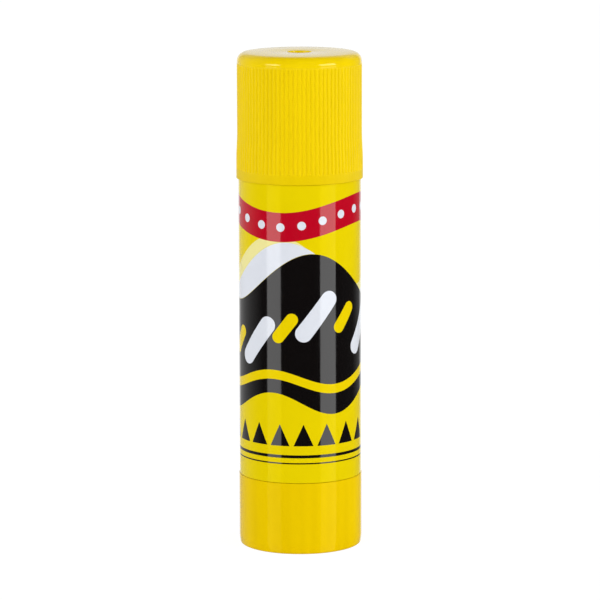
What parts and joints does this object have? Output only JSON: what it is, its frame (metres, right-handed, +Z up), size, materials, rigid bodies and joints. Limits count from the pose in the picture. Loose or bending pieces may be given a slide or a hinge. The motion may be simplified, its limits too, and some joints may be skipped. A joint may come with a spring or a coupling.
{
  "type": "glue stick",
  "caption": "Twist-up glue stick with a ribbed pull-off cap, a wrapped label on a straight barrel and a turning base that raises the glue on a lead screw.",
  "frame": {"origin": "middle of the ring that the stick stands on, at table level", "axes": "+Z up the stick's axis to the cap; the front faces -Y and the label's lap is at the back, on +Y"},
  "size_m": [0.0216, 0.0216, 0.085],
  "materials": {
    "yellow_plastic": "smooth moulded gloss",
    "label_film": "printed glossy film",
    "white_plastic": "natural moulded plastic",
    "solid_glue": "waxy, slightly translucent"
  },
  "bodies": {
    "barrel": {"barrel": "yellow_plastic", "label": "label_film"},
    "knob": {"knob": "yellow_plastic", "spindle": "white_plastic"},
    "carriage": {"piston": "white_plastic", "glue": "solid_glue"},
    "cap": {"cap": "yellow_plastic"}
  },
  "joints": [
    {"name": "knob_turn", "type": "hinge", "parent": "barrel", "child": "knob", "pos_m": [0, 0, 0.0061], "axis": [0, 0, -1], "range_deg": [0, 2160]},
    {"name": "piston_rise", "type": "slide", "parent": "barrel", "child": "carriage", "axis": [0, 0, 1], "range_m": [0, 0.03]},
    {"name": "cap_pull", "type": "slide", "parent": "carriage", "child": "cap", "axis": [0, 0, 1], "range_m": [0, 0.03]}
  ],
  "couplings": [
    {"joint": "piston_rise", "follows": "knob_turn", "m_per_rad": 0.00079577}
  ]
}
